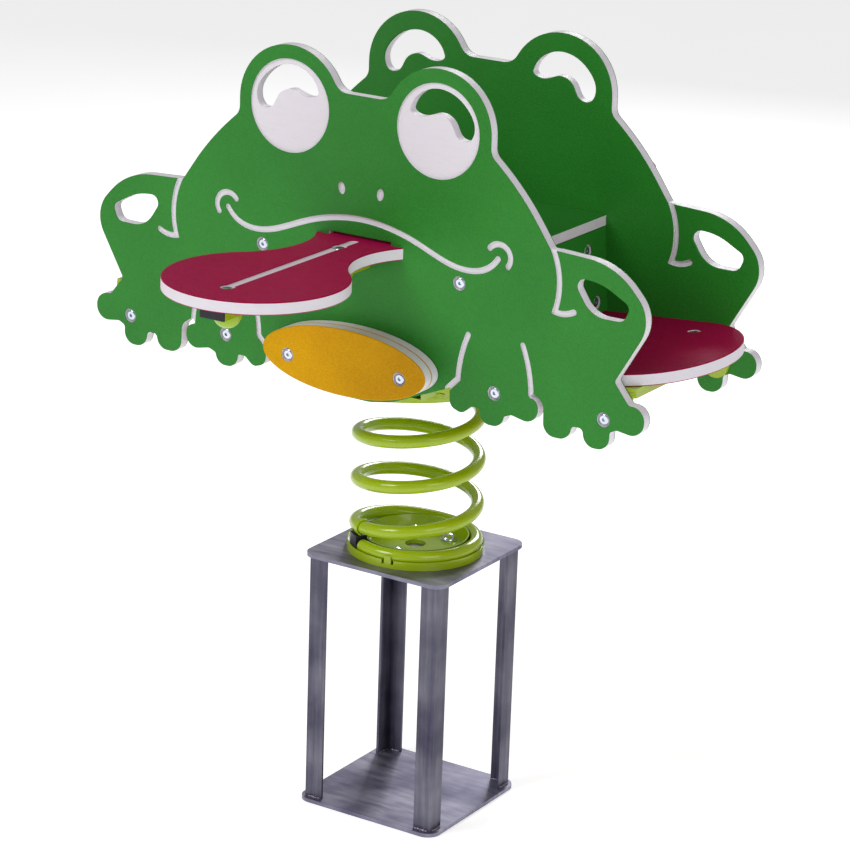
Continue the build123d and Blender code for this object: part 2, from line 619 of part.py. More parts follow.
def cross_board():
    inward = board_face_x(FACE_Z - 130.0) - SEAT_MID_X
    low = SEAT_TOP_AT_MID + inward * math.tan(math.radians(SEAT_TILT)) + 1.2
    corners = [(board_face_x(SHELF_BOTTOM), SHELF_BOTTOM), (board_face_x(low), low),
               (board_face_x(low) - SHEET_T, low), (board_face_x(SHELF_BOTTOM) - SHEET_T, SHELF_BOTTOM)]
    board = slab_xz(make_face(Polyline(*corners, close=True)), -INNER_Y, INNER_Y)
    for y, z in BOARD_BOLTS:
        for side in (-1, 1):
            x = board_face_x(z)
            seat = Pos(x, side * y, z) * Rot(0, 90 - SEAT_TILT, 0)
            board -= seat * Pos(0, 0, 0) * Cylinder(COUNTERBORE_R, 2 * COUNTERBORE_DEPTH)
            board -= seat * Cylinder(BOLT_HOLE_R, 60)
    return board


BOARD_BOLTS = ((107.0, FACE_Z - 29.0), (131.0, FACE_Z - 111.0))


def board_bolt(y, z):
    """A button-head bolt through the right-hand cross board, square to its face."""
    seat = Pos(board_face_x(z), y, z) * Rot(0, 90 - SEAT_TILT, 0)
    depth = -COUNTERBORE_DEPTH
    head = fillet(post(HEAD_R, depth, depth + HEAD_H).faces().sort_by(Axis.Z)[-1].edges(), 2.6)
    socket = slab_xy(RegularPolygon(3.2, 6), depth + HEAD_H - 2.6, depth + HEAD_H + 1)
    return seat * (head - socket + post(BOLT_R, -SHEET_T - 9, depth))


def build_box():
    shelf = block(-SHELF_HALF, SHELF_HALF, -INNER_Y, INNER_Y, SHELF_BOTTOM, SHELF_TOP)
    shelf = softened(shelf)
    screws = []
    for x, y in ((60.0, 60.0), (-60.0, 60.0), (60.0, -60.0), (-60.0, -60.0)):
        shelf -= post(COUNTERBORE_R, SHELF_TOP - COUNTERBORE_DEPTH, SHELF_TOP + 1, x, y)
        shelf -= post(BOLT_HOLE_R, SHELF_BOTTOM - 1, SHELF_TOP + 1, x, y)
        seat_z = SHELF_TOP - COUNTERBORE_DEPTH
        head = fillet(post(HEAD_R, seat_z, seat_z + HEAD_H, x, y).faces().sort_by(Axis.Z)[-1].edges(), 2.6)
        socket = slab_xy(Pos(x, y) * RegularPolygon(3.2, 6), seat_z + HEAD_H - 2.6, seat_z + HEAD_H + 1)
        screws.append(head - socket + post(BOLT_R, ARM_TOP - ARM_H - 5, seat_z, x, y))
    write("centre_shelf", shelf)
    write("shelf_bolts", *screws)
    right, left = both_ends(cross_board())
    write("right_cross_board", right)
    write("left_cross_board", left)
    bolts = [s for y, z in BOARD_BOLTS for s in four_ways(board_bolt(y, z))]
    write("cross_board_bolts", *bolts)
    y, z = BOARD_BOLTS[1]
    x = board_face_x(z + 20) - SHEET_T - 0.3
    leg = block(x - 4, x, INNER_Y - 42, INNER_Y - 0.2, z - 20, z + 20)
    leg += block(x - 40, x, INNER_Y - 4.2, INNER_Y - 0.2, z - 20, z + 20)
    leg -= Pos(board_face_x(z), y, z) * Rot(0, 90 - SEAT_TILT, 0) * Cylinder(BOLT_HOLE_R, 80)
    write("corner_brackets", *four_ways(leg))


def build_frame():
    plate_z = UPPER_PLATE_Z + SEAT_PLATE_T
    half = MOUNT_PLATE_SIDE / 2
    plate = block(-half, half, -half, half, plate_z, plate_z + MOUNT_PLATE_T)
    for x, y in head_circle():
        plate -= post(BASE_BOLT_R + 0.5, plate_z - 1, plate_z + MOUNT_PLATE_T + 1, x, y)
    write("mount_plate", plate)
    tie_z = plate_z + MOUNT_PLATE_T
    tie = tube(TIE_X - 20, TIE_X + 20, -INNER_Y + 1, INNER_Y - 1, tie_z, tie_z + TIE_H, "y")
    write("frame_ties", *both_ends(tie))
    rail_z = tie_z + TIE_H
    rail = block(-RAIL_HALF, RAIL_HALF, -INNER_Y, -INNER_Y + RAIL_WALL, rail_z, rail_z + RAIL_LEG)
    rail += block(-RAIL_HALF, RAIL_HALF, -INNER_Y, -INNER_Y + RAIL_LEG, rail_z, rail_z + RAIL_WALL)
    for side in (-1, 1):
        for x, z in (PAW_BOLT, BELLY_BOLT):
            rail -= pin_y(BOLT_R + 0.1, -INNER_Y - 1, -INNER_Y + RAIL_WALL + 1, side * x, FACE_Z + z)
    front, rear = both_faces(rail)
    write("front_panel_rail", front)
    write("rear_panel_rail", rear)
    cross_top = ARM_TOP - ARM_H
    cross_low = SHELF_BOTTOM - SIDE_TUBE_H
    half_w = COLUMN_W / 2
    x0, x1 = TIE_X - half_w, TIE_X + half_w
    column = tube(x0, x1, COLUMN_Y - half_w, COLUMN_Y + half_w, rail_z, cross_low, "z")
    write("frame_columns", *four_ways(column))
    inner_x = MOUTH_BOLT[0] - SIDE_TUBE_W / 2
    beam = tube(-inner_x, inner_x, COLUMN_Y - 20, COLUMN_Y + 20, cross_low, cross_top, "x")
    write("frame_cross_tubes", *both_faces(beam))
    side_y = INNER_Y - 0.2
    side_tube = tube(inner_x, inner_x + SIDE_TUBE_W, -side_y, side_y, cross_low, SHELF_BOTTOM, "y")
    write("frame_side_tubes", *both_ends(side_tube))


def main():
    build_anchor()
    build_spring()
    build_spring_ends()
    build_panels()
    build_seats()
    build_tongues()
    build_box()
    build_frame()
    os.makedirs("parts", exist_ok=True)
    for name, shape in NODES.items():
        export_step(shape, os.path.join("parts", name + ".step"))


main()
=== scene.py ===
"""Frog spring seesaw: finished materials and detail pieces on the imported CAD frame.

The body is playground board in three layers: a coloured skin on each face and a white core. Everything
that is cut through the skin, such as the grooves, the eyes and the rounded rims, shows the core.
"""

import json
import logging
import math
from dataclasses import dataclass
from enum import Enum

import bmesh
import bpy
from mathutils import Matrix, Vector

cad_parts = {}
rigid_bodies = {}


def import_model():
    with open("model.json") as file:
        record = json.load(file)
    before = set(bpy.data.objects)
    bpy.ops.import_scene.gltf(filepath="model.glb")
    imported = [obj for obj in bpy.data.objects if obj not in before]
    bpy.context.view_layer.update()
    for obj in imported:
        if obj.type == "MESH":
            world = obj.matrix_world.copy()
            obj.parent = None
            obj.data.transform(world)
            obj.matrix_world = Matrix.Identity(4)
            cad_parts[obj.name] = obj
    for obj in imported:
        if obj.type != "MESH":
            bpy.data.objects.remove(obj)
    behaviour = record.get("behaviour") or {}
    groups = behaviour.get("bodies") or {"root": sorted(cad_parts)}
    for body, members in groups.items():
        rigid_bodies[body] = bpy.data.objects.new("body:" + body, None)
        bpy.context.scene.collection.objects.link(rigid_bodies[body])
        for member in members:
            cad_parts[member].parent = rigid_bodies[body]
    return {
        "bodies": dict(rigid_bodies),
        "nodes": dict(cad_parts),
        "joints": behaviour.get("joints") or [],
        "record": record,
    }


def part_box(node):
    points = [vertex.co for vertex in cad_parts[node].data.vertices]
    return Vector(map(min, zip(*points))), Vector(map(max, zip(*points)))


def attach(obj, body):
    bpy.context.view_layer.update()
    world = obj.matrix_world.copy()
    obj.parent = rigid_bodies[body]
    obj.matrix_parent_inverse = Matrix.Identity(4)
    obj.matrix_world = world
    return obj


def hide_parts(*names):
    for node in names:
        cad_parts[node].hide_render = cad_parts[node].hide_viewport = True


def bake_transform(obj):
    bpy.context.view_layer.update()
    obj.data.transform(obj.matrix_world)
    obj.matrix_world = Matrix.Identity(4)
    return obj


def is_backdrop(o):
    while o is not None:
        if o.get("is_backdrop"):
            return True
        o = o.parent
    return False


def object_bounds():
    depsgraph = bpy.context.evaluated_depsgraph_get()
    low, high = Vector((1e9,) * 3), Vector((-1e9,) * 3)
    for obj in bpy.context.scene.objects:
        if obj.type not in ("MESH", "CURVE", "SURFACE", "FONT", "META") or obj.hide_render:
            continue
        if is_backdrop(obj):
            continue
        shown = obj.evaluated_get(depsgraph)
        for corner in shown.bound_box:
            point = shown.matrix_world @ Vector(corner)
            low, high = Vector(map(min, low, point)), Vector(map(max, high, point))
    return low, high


logging.basicConfig(level=logging.INFO, format="%(message)s")
LOG = logging.getLogger("frog_seesaw")

# ---- shared dimensions, in metres ------------------------------------------------------
WIRE_RADIUS = 0.0100
COIL_RADIUS = 0.0925
COIL_PITCH = 0.0715
COIL_START_DEG = -118.0
COIL_LOW_Z = 0.4265
DEAD_TURNS = 0.593
ACTIVE_TURNS = 3.552
JOINT_TURNS = (1.4528, 2.0778, 2.5778, 3.2028)
CLIMB_EASE = 0.05
POST_WALL = 0.004
SHEET = 0.018
PANEL_MID_Y = 0.169
SKIN_DEPTH = 0.0014
SEAT_TILT = math.radians(4.5)
SEAT_MID_X = 0.400
SEAT_TOP_AT_MID = 0.8041


class Facing(Enum):
    """The direction, over the absolute values of X and Y, that a board's faces point in."""

    ACROSS = (0.0, 1.0, 0.0)
    LEVEL = (0.0, 0.0, 1.0)
    SEAT = (-math.sin(SEAT_TILT), 0.0, math.cos(SEAT_TILT))
    CROSS = (math.cos(SEAT_TILT), 0.0, math.sin(SEAT_TILT))


@dataclass(frozen=True)
class BoardFinish:
    """A three-layer board.

    Attributes:
        name: material name.
        skin: linear colour of the two skins.
        shade: darker linear colour that the skin drifts towards in places.
        core: linear colour of the core.
        facing: direction of the board's faces.
        middle: distance of the board's mid-plane from the origin along that direction.
        specular: strength of the skin's plain reflection.
        sheen: strength of the soft glow at grazing angles.
    """

    name: str
    skin: tuple
    shade: tuple
    core: tuple
    facing: Facing
    middle: float
    specular: float = 0.30
    sheen: float = 0.0


@dataclass(frozen=True)
class CoatFinish:
    """A paint or a moulded plastic.

    Attributes:
        name: material name.
        colour: linear colour.
        shade: linear colour that it drifts towards.
        roughness: lowest and highest roughness.
        grain_mm: size of the surface's grain.
        grain_depth: height of the grain in metres.
        coat: weight of the clear coat.
        metallic: metallic value.
    """

    name: str
    colour: tuple
    shade: tuple
    roughness: tuple
    grain_mm: float
    grain_depth: float
    coat: float = 0.0
    metallic: float = 0.0


CORE_WHITE = (0.80, 0.76, 0.82)
GREEN = (0.024, 0.235, 0.022)
GREEN_SHADE = (0.019, 0.205, 0.018)
YELLOW = (0.70, 0.37, 0.000)
YELLOW_SHADE = (0.58, 0.285, 0.000)
CRIMSON = (0.400, 0.000, 0.062)
CRIMSON_SHADE = (0.350, 0.000, 0.052)
MILL_TONES = ((0.070, 0.068, 0.125), (0.130, 0.125, 0.190), (0.20, 0.195, 0.27), (0.40, 0.39, 0.47))
SHEEN_PINK = (1.0, 0.07, 0.30, 1.0)
SEAT_MIDDLE = (SEAT_TOP_AT_MID * math.cos(SEAT_TILT) - SEAT_MID_X * math.sin(SEAT_TILT)) - SHEET / 2


def facing_distance(facing: Facing, point: tuple) -> float:
    """Distance of a point along a board's facing direction.

    Args:
        facing: the board's facing direction.
        point: a point in metres.

    Returns:
        The distance from the origin in metres.
    """
    return sum(a * b for a, b in zip(facing.value, point))


# ---- node helpers ------------------------------------------------------------------------
class NodeGraph:
    """Short calls that add and join nodes in one node tree."""

    def __init__(self, tree: bpy.types.NodeTree) -> None:
        self.tree = tree

    def add(self, kind: str, **settings) -> bpy.types.Node:
        """Adds a node and sets its properties and unlinked inputs.

        Args:
            kind: the node type's id.
            **settings: node properties by name. A key that starts with in_ sets the input socket of
                that number, linked where the value is a socket.

        Returns:
            The node.
        """
        node = self.tree.nodes.new(kind)
        for key, value in settings.items():
            if not key.startswith("in_"):
                setattr(node, key, value)
        for key, value in settings.items():
            if key.startswith("in_"):
                socket = node.inputs[int(key[3:])]
                if isinstance(value, bpy.types.NodeSocket):
                    self.tree.links.new(value, socket)
                else:
                    socket.default_value = value
        return node

    def math(self, operation: str, a: "bpy.types.NodeSocket | float",
             b: "bpy.types.NodeSocket | float" = 0.0) -> bpy.types.NodeSocket:
        """A math node's result."""
        return self.add("ShaderNodeMath", operation=operation, in_0=a, in_1=b).outputs[0]

    def noise(self, vector: bpy.types.NodeSocket, scale: float, detail: float = 2.0) -> bpy.types.NodeSocket:
        """A noise texture's factor."""
        node = self.add("ShaderNodeTexNoise", in_2=scale, in_3=detail)
        self.tree.links.new(vector, node.inputs["Vector"])
        return node.outputs["Fac"]

    def remap(self, value: bpy.types.NodeSocket, low: float, high: float, to_low: float,
              to_high: float) -> bpy.types.NodeSocket:
        """The value stretched from one range to another, clamped."""
        return self.add("ShaderNodeMapRange", clamp=True, in_0=value, in_1=low, in_2=high,
                        in_3=to_low, in_4=to_high).outputs[0]

    def mix(self, factor: bpy.types.NodeSocket, a: "bpy.types.NodeSocket | tuple",
            b: "bpy.types.NodeSocket | tuple") -> bpy.types.NodeSocket:
        """A mix of two colours, each a socket or a plain colour."""
        node = self.add("ShaderNodeMix", data_type="RGBA")
        for index, value in ((0, factor), (6, a), (7, b)):
            socket = node.inputs[index]
            if isinstance(value, bpy.types.NodeSocket):
                self.tree.links.new(value, socket)
            elif index:
                socket.default_value = (*value, 1.0)
            else:
                socket.default_value = value
        return node.outputs[2]


def new_group(name: str, inputs: dict, outputs: dict) -> tuple:
    """A shader node group with typed sockets.

    Args:
        name: the group's name.
        inputs: socket type by name.
        outputs: socket type by name.

    Returns:
        The group, its graph, its input node and its output node.
    """
    group = bpy.data.node_groups.new(name, "ShaderNodeTree")
    for label, kind in inputs.items():
        group.interface.new_socket(name=label, in_out="INPUT", socket_type=kind)
    for label, kind in outputs.items():
        group.interface.new_socket(name=label, in_out="OUTPUT", socket_type=kind)
    graph = NodeGraph(group)
    return group, graph, graph.add("NodeGroupInput"), graph.add("NodeGroupOutput")


FLOAT, VECTOR = "NodeSocketFloat", "NodeSocketVector"


class Finishes:
    """Builds every material once, on three shared node groups."""

    def __init__(self) -> None:
        self.layers = self._layers()
        self.grain = self._grain()
        self.mill = self._mill()
        self.made: dict = {}

    @staticmethod
    def _layers() -> bpy.types.NodeTree:
        """Group: 1 in a board's two skins and 0 in its core, from the depth under the nearer face."""
        group, g, inp, out = new_group("board_layers", {"Facing": VECTOR, "Middle": FLOAT}, {"Skin": FLOAT})
        coord = g.add("ShaderNodeTexCoord")
        spot = g.add("ShaderNodeVectorMath", operation="ABSOLUTE", in_0=coord.outputs["Object"])
        depth = g.add("ShaderNodeVectorMath", operation="DOT_PRODUCT", in_0=spot.outputs[0],
                      in_1=inp.outputs["Facing"])
        away = g.math("ABSOLUTE", g.math("SUBTRACT", depth.outputs["Value"], inp.outputs["Middle"]))
        near_face = g.math("GREATER_THAN", away, SHEET / 2 - SKIN_DEPTH)
        g.tree.links.new(near_face, out.inputs["Skin"])
        return group

    @staticmethod
    def _grain() -> bpy.types.NodeTree:
        """Group: a fine pebble grain, a slow colour drift and faint rub marks."""
        group, g, inp, out = new_group(
            "surface_grain", {"Grain": FLOAT},
            {"Height": FLOAT, "Drift": FLOAT, "Rub": FLOAT})
        coord = g.add("ShaderNodeTexCoord").outputs["Object"]
        fine = g.add("ShaderNodeTexNoise", in_3=3.0)
        g.tree.links.new(coord, fine.inputs["Vector"])
        g.tree.links.new(inp.outputs["Grain"], fine.inputs["Scale"])
        g.tree.links.new(fine.outputs["Fac"], out.inputs["Height"])
        g.tree.links.new(g.remap(g.noise(coord, 7.0, 3.0), 0.3, 0.7, 0.0, 1.0), out.inputs["Drift"])
        stretched = g.add("ShaderNodeMapping", in_0=coord, in_3=(1.0, 1.0, 6.0)).outputs[0]
        g.tree.links.new(g.remap(g.noise(stretched, 60.0, 6.0), 0.45, 0.8, 0.0, 1.0), out.inputs["Rub"])
        return group

    @staticmethod
    def _mill() -> bpy.types.NodeTree:
        """Group: blued mill scale with roll streaks and cloudy patches."""
        group, g, inp, out = new_group("mill_scale", {"Streak": VECTOR},
                                       {"Cloud": FLOAT, "Streaks": FLOAT, "Height": FLOAT})
        coord = g.add("ShaderNodeTexCoord").outputs["Object"]
        cloud = g.noise(coord, 9.0, 5.0)
        along = g.add("ShaderNodeVectorMath", operation="MULTIPLY", in_0=coord,
                      in_1=inp.outputs["Streak"])
        streak = g.noise(along.outputs[0], 1.0, 6.0)
        pits = g.noise(coord, 900.0, 3.0)
        g.tree.links.new(g.remap(cloud, 0.35, 0.68, 0.0, 1.0), out.inputs["Cloud"])
        g.tree.links.new(g.remap(streak, 0.3, 0.7, 0.0, 1.0), out.inputs["Streaks"])
        g.tree.links.new(g.math("ADD", g.math("MULTIPLY", pits, 0.5), streak), out.inputs["Height"])
        return group

    @staticmethod
    def start(name: str) -> tuple:
        """A new material, with its graph and its shader, joined to the output."""
        material = bpy.data.materials.new(name)
        material.use_nodes = True
        material.node_tree.nodes.clear()
        graph = NodeGraph(material.node_tree)
        shader = graph.add("ShaderNodeBsdfPrincipled")
        graph.add("ShaderNodeOutputMaterial", in_0=shader.outputs[0])
        return material, graph, shader

    def board(self, finish: BoardFinish) -> bpy.types.Material:
        """The material of a board, made the first time it is asked for."""
        if finish.name in self.made:
            return self.made[finish.name]
        material, g, shader = self.start(finish.name)
        layers = g.add("ShaderNodeGroup", node_tree=self.layers, in_0=finish.facing.value,
                       in_1=finish.middle)
        grain = g.add("ShaderNodeGroup", node_tree=self.grain, in_0=520.0)
        drift = g.mix(grain.outputs["Drift"], finish.skin, finish.shade)
        speck = g.remap(grain.outputs["Height"], 0.35, 0.65, 0.90, 1.10)
        tone = g.add("ShaderNodeCombineColor", in_0=speck, in_1=speck, in_2=speck).outputs[0]
        mixed = g.add("ShaderNodeMix", data_type="RGBA", blend_type="MULTIPLY")
        mixed.inputs[0].default_value = 1.0
        g.tree.links.new(drift, mixed.inputs[6])
        g.tree.links.new(tone, mixed.inputs[7])
        skin = mixed.outputs[2]
        soft_core = tuple(c * 0.97 for c in finish.core)
        core = g.mix(grain.outputs["Rub"], finish.core, soft_core)
        g.tree.links.new(g.mix(layers.outputs["Skin"], core, skin), shader.inputs["Base Color"])
        rough = g.math("ADD", g.math("MULTIPLY", grain.outputs["Rub"], 0.06), 0.42)
        g.tree.links.new(rough, shader.inputs["Roughness"])
        bump = g.add("ShaderNodeBump")
        bump.inputs["Strength"].default_value = 0.55
        bump.inputs["Distance"].default_value = 0.0008
        g.tree.links.new(grain.outputs["Height"], bump.inputs["Height"])
        g.tree.links.new(bump.outputs[0], shader.inputs["Normal"])
        shader.inputs["Specular IOR Level"].default_value = finish.specular
        shader.inputs["Sheen Weight"].default_value = finish.sheen
        shader.inputs["Sheen Roughness"].default_value = 0.35
        shader.inputs["Sheen Tint"].default_value = SHEEN_PINK
        self.made[finish.name] = material
        return material

    def coat(self, finish: CoatFinish) -> bpy.types.Material:
        """The material of a paint or moulded plastic, made the first time it is asked for."""
        if finish.name in self.made:
            return self.made[finish.name]
        material, g, shader = self.start(finish.name)
        grain = g.add("ShaderNodeGroup", node_tree=self.grain, in_0=1000.0 / finish.grain_mm)
        colour = g.mix(grain.outputs["Drift"], finish.colour, finish.shade)
        g.tree.links.new(colour, shader.inputs["Base Color"])
        low, high = finish.roughness
        g.tree.links.new(g.remap(grain.outputs["Rub"], 0.0, 1.0, low, high), shader.inputs["Roughness"])
        bump = g.add("ShaderNodeBump")
        bump.inputs["Strength"].default_value = 0.35
        bump.inputs["Distance"].default_value = finish.grain_depth
        g.tree.links.new(grain.outputs["Height"], bump.inputs["Height"])
        g.tree.links.new(bump.outputs[0], shader.inputs["Normal"])
        shader.inputs["Coat Weight"].default_value = finish.coat
        shader.inputs["Coat Roughness"].default_value = 0.12
        shader.inputs["Metallic"].default_value = finish.metallic
        self.made[finish.name] = material
        return material

    def mill_steel(self, name: str, streak: tuple, tone: float) -> bpy.types.Material:
        """Raw steel with roll streaks.

        Args:
            name: material name.
            streak: scale of the streaks along each axis, smallest along their length.
            tone: how light the scale is.

        Returns:
            The material.
        """
        if name in self.made:
            return self.made[name]
        material, g, shader = self.start(name)
        scale = g.add("ShaderNodeGroup", node_tree=self.mill, in_0=streak)
        deep, blue, grey, bright = (tuple(c * tone for c in colour) for colour in MILL_TONES)
        dark = g.mix(scale.outputs["Streaks"], deep, blue)
        light = g.mix(scale.outputs["Streaks"], grey, bright)
        g.tree.links.new(g.mix(scale.outputs["Cloud"], dark, light), shader.inputs["Base Color"])
        g.tree.links.new(g.remap(scale.outputs["Streaks"], 0.0, 1.0, 0.36, 0.52), shader.inputs["Roughness"])
        bump = g.add("ShaderNodeBump")
        bump.inputs["Strength"].default_value = 0.25
        bump.inputs["Distance"].default_value = 0.0003
        g.tree.links.new(scale.outputs["Height"], bump.inputs["Height"])
        g.tree.links.new(bump.outputs[0], shader.inputs["Normal"])
        shader.inputs["Metallic"].default_value = 0.85
        self.made[name] = material
        return material


LIME = CoatFinish("lime_powder_coat", (0.375, 0.525, 0.002), (0.345, 0.490, 0.002), (0.17, 0.20),
                  1.6, 0.00012, 0.25)
LIME_CAP = CoatFinish("lime_moulding", (0.330, 0.545, 0.006), (0.300, 0.510, 0.005), (0.28, 0.40),
                      0.9, 0.0002, 0.1)
BLACK = CoatFinish("black_moulding", (0.006, 0.006, 0.016), (0.010, 0.010, 0.024), (0.42, 0.58), 0.7, 0.0003)
ZINC = CoatFinish("bright_zinc", (0.74, 0.78, 0.86), (0.60, 0.66, 0.76), (0.14, 0.30), 0.8, 0.0001, 0.0, 1.0)
WELD = CoatFinish("weld_bead", (0.34, 0.31, 0.36), (0.20, 0.18, 0.24), (0.30, 0.46), 2.0, 0.0006, 0.0, 0.9)


def green(name: str, facing: Facing, middle: float) -> BoardFinish:
    """A green board's finish for one facing and mid-plane."""
    return BoardFinish(name, GREEN, GREEN_SHADE, CORE_WHITE, facing, middle)


def yellow(name: str, middle: float) -> BoardFinish:
    """A yellow belly plate's finish for one mid-plane."""
    return BoardFinish(name, YELLOW, YELLOW_SHADE, CORE_WHITE, Facing.ACROSS, middle, 0.10)


def crimson(name: str, facing: Facing, middle: float, specular: float, sheen: float) -> BoardFinish:
    """A crimson board's finish for one facing, mid-plane and gloss."""
    return BoardFinish(name, CRIMSON, CRIMSON_SHADE, CORE_WHITE, facing, middle, specular, sheen)


# ---- sub-assemblies ----------------------------------------------------------------------
@dataclass
class Assembly:
    """What every sub-assembly needs: the frame and the finishes."""

    frame: dict
    finishes: Finishes

    def paint(self, node: str, material: bpy.types.Material) -> bpy.types.Object:
        """Puts one material over a CAD node.

        Args:
            node: the CAD node's name.
            material: the finished material.

        Returns:
            The node's object.
        """
        item = self.frame["nodes"][node]
        item.data.materials.clear()
        item.data.materials.append(material)
        LOG.info("painted %s with %s", node, material.name)
        return item

    @staticmethod
    def round_rims(item: bpy.types.Object, width: float, segments: int = 2) -> None:
        """Rounds an object's sharp rims with a bevel.

        Args:
            item: the object.
            width: width of the bevel in metres.
            segments: number of steps over the rim.
        """
        bevel = item.modifiers.new("rims", "BEVEL")
        bevel.width = width
        bevel.segments = segments
        bevel.limit_method = "ANGLE"
        bevel.angle_limit = math.radians(50)
        bevel.use_clamp_overlap = True
        bevel.harden_normals = True

    @staticmethod
    def finished(name: str, bm: bmesh.types.BMesh, material: bpy.types.Material) -> bpy.types.Object:
        """Turns a bmesh into a smooth-shaded object at the origin.

        Args:
            name: the object's name.
            bm: the geometry in the scene's own frame, which is freed.
            material: its material.

        Returns:
            The object.
        """
        bmesh.ops.recalc_face_normals(bm, faces=bm.faces)
        mesh = bpy.data.meshes.new(name)
        bm.to_mesh(mesh)
        bm.free()
        for polygon in mesh.polygons:
            polygon.use_smooth = True
        mesh.materials.append(material)
        item = bpy.data.objects.new(name, mesh)
        bpy.context.scene.collection.objects.link(item)
        LOG.info("made %s: %d faces", name, len(mesh.polygons))
        return item


@dataclass
class FrogBody(Assembly):
    """The frog panels, belly plates, seats, tongues, box and the steel inside."""

    panel_rim: float = 0.0012
    steel_rim: float = 0.0006
    plug_rim: float = 0.0008

    def build(self) -> None:
        """Paints the boards and the steel, and rounds their rims."""
        board = self.finishes.board
        tongue_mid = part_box("front_tongue")[1][2] - SHEET / 2
        shelf_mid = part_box("centre_shelf")[1][2] - SHEET / 2
        shelf_low, shelf_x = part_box("centre_shelf")[0][2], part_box("centre_shelf")[1][0]
        cross_mid = facing_distance(Facing.CROSS, (shelf_x, 0.0, shelf_low)) - SHEET / 2
        outer_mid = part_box("rear_belly_plate_outer")[1][1] - SHEET / 2
        inner_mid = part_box("rear_belly_plate_inner")[1][1] - SHEET / 2
        finishes = {
            "panel": green("green_panel", Facing.ACROSS, PANEL_MID_Y),
            "shelf": green("green_shelf", Facing.LEVEL, shelf_mid),
            "cross": green("green_cross_board", Facing.CROSS, cross_mid),
            "outer": yellow("yellow_plate_outer", outer_mid),
            "inner": yellow("yellow_plate_inner", inner_mid),
            "tongue": crimson("crimson_tongue", Facing.LEVEL, tongue_mid, 0.05, 0.30),
            "seat": crimson("crimson_seat", Facing.SEAT, SEAT_MIDDLE, 0.03, 0.02),
        }
        wear = {
            "front_panel": "panel", "rear_panel": "panel", "centre_shelf": "shelf",
            "left_cross_board": "cross", "right_cross_board": "cross",
            "front_belly_plate_outer": "outer", "rear_belly_plate_outer": "outer",
            "front_belly_plate_inner": "inner", "rear_belly_plate_inner": "inner",
            "front_tongue": "tongue", "rear_tongue": "tongue", "left_seat": "seat", "right_seat": "seat",
        }
        for node, key in wear.items():
            item = self.paint(node, board(finishes[key]))
            if "panel" in node:
                self.round_rims(item, self.panel_rim)
        lime = self.finishes.coat(LIME)
        for node in ("tongue_arm", "front_panel_rail", "rear_panel_rail", "frame_ties", "frame_columns",
                     "frame_cross_tubes", "frame_side_tubes", "mount_plate", "left_seat_bracket",
                     "right_seat_bracket", "corner_brackets"):
            self.round_rims(self.paint(node, lime), self.steel_rim)
        self.paint("tongue_bolt_caps", self.finishes.coat(LIME_CAP))
        self.round_rims(self.paint("tongue_arm_plugs", self.finishes.coat(BLACK)), self.plug_rim)
        zinc = self.finishes.coat(ZINC)
        for node in ("front_panel_bolts", "rear_panel_bolts", "front_panel_nuts", "rear_panel_nuts",
                     "seat_bolts", "seat_nuts", "tongue_bolts", "shelf_bolts", "cross_board_bolts",
                     "spring_head_bolts", "spring_head_nuts"):
            self.paint(node, zinc)


